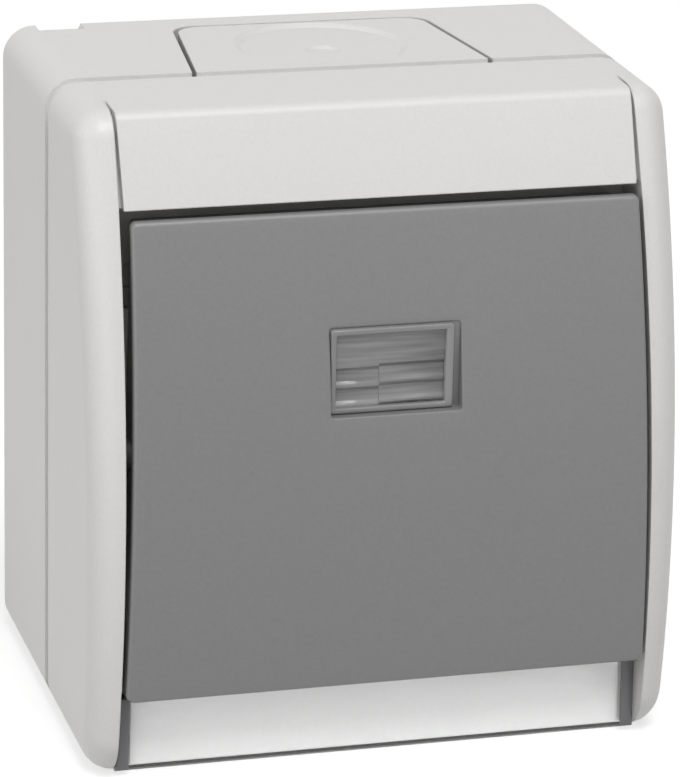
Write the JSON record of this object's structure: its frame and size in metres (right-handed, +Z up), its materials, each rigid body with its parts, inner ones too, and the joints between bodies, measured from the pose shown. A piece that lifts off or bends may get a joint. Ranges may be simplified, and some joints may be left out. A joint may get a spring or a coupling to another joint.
{
  "type": "surface-mounted weatherproof rocker switch",
  "caption": "Light grey surface-mounted weatherproof light switch with a wide mid-grey rocker, a clear indicator lens, a clear label window and a top cable entry.",
  "frame": {"origin": "middle of the wall face of the back box", "axes": "+X to the right seen from the front, +Y from the front into the wall, +Z up; the front faces -Y"},
  "size_m": [0.068, 0.0507, 0.075],
  "materials": {
    "housing_grey": "fine satin moulding, light warm grey",
    "rocker_grey": "fine satin moulding, mid grey",
    "clear_plastic": "clear polycarbonate, polished",
    "card_white": "thin white card, plain",
    "seal_rubber": "soft matt seal rubber",
    "seal_silicone": "soft translucent silicone, matt",
    "inner_white": "heat-resistant moulding, off-white",
    "inner_dark": "heat-resistant moulding, dark grey",
    "brass": "stamped brass, bright",
    "silver_contact": "silver-faced contact, satin",
    "steel": "zinc-plated steel",
    "spring_steel": "drawn spring wire",
    "lamp_glass": "clear tube, faint orange tint"
  },
  "bodies": {
    "housing": {"back_box": "housing_grey", "cable_entry_plate": "housing_grey", "rim_gasket": "seal_rubber", "front_cover": "housing_grey", "cover_screws": "steel", "screw_seals": "seal_rubber", "rocker_seal": "seal_silicone", "seal_retainer": "inner_dark", "label_window": "clear_plastic", "label_card": "card_white", "common_contact": "brass", "upper_contact": "brass", "lower_contact": "brass", "contact_rivets": "silver_contact", "terminal_clamps": "brass", "terminal_screws": "steel", "mechanism_base": "inner_white", "mechanism_lid": "inner_dark", "mechanism_screws": "steel", "lid_screws": "steel", "lamp_holder": "inner_white", "lamp_pins": "brass", "indicator_lamp": "lamp_glass"},
    "rocker": {"rocker_cap": "rocker_grey", "rocker_lens": "clear_plastic", "actuator": "inner_white", "plunger": "inner_white", "plunger_spring": "spring_steel"},
    "contact_lever": {"contact_lever": "brass", "lever_rivets": "silver_contact"}
  },
  "joints": [
    {"name": "rocker_hinge", "type": "hinge", "parent": "housing", "child": "rocker", "pos_m": [0, -0.042, -0.001], "axis": [1, 0, 0], "range_deg": [0, 5]},
    {"name": "lever_hinge", "type": "hinge", "parent": "housing", "child": "contact_lever", "pos_m": [0, -0.017, -0.001], "axis": [1, 0, 0], "range_deg": [-15, 0]}
  ],
  "couplings": [
    {"joint": "lever_hinge", "follows": "rocker_hinge", "ratio": -3}
  ]
}
